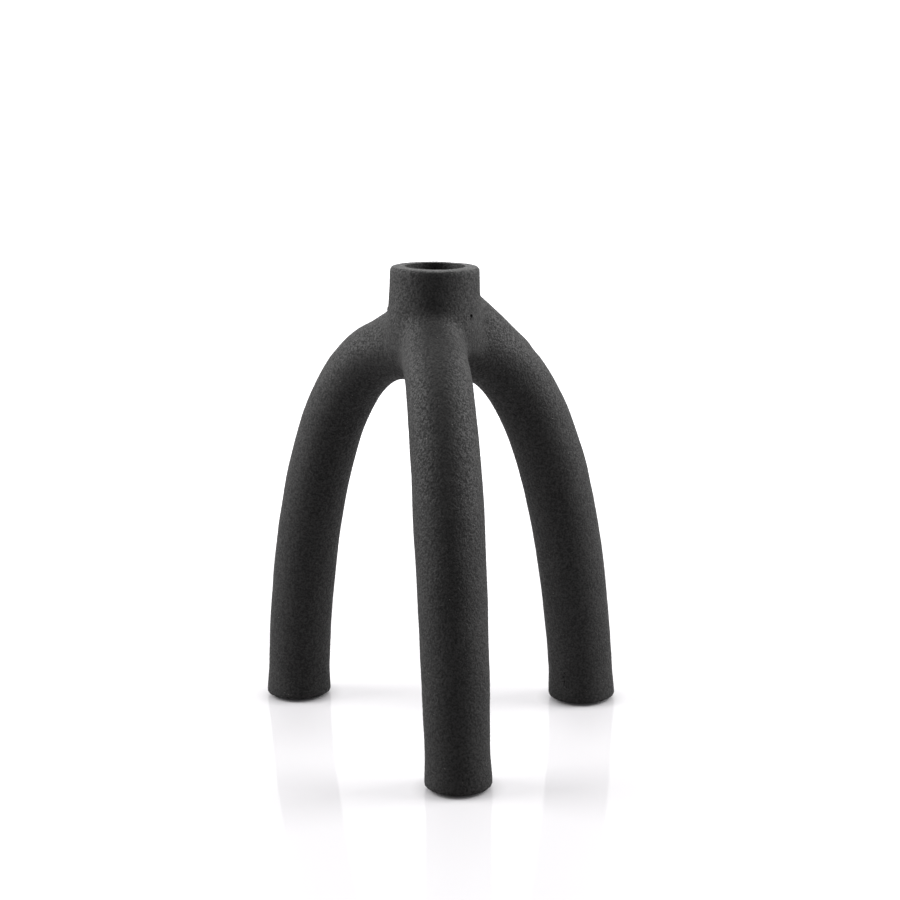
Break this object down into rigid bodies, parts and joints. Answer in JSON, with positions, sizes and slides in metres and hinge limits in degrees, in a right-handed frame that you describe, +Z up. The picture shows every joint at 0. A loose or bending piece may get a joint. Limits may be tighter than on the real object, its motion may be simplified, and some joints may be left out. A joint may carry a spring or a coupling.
{
  "type": "tabletop candle holder",
  "caption": "Black stoneware candle holder: a short thick-walled candle collar on a knuckle of arched round legs that stand on thin felt pads.",
  "frame": {"origin": "on the table, under the middle of the whole object's box", "axes": "+Z up; the front leg points towards -Y, and +X is to the right of a person facing the front leg"},
  "size_m": [0.142, 0.1374, 0.1819],
  "materials": {
    "stoneware": "matte, gritty, unglazed",
    "felt": "pressed felt"
  },
  "bodies": {
    "root": {"candle_collar": "stoneware", "crown": "stoneware", "leg_front": "stoneware", "leg_right": "stoneware", "leg_left": "stoneware", "foot_pad_front": "felt", "foot_pad_right": "felt", "foot_pad_left": "felt"}
  },
  "joints": []
}
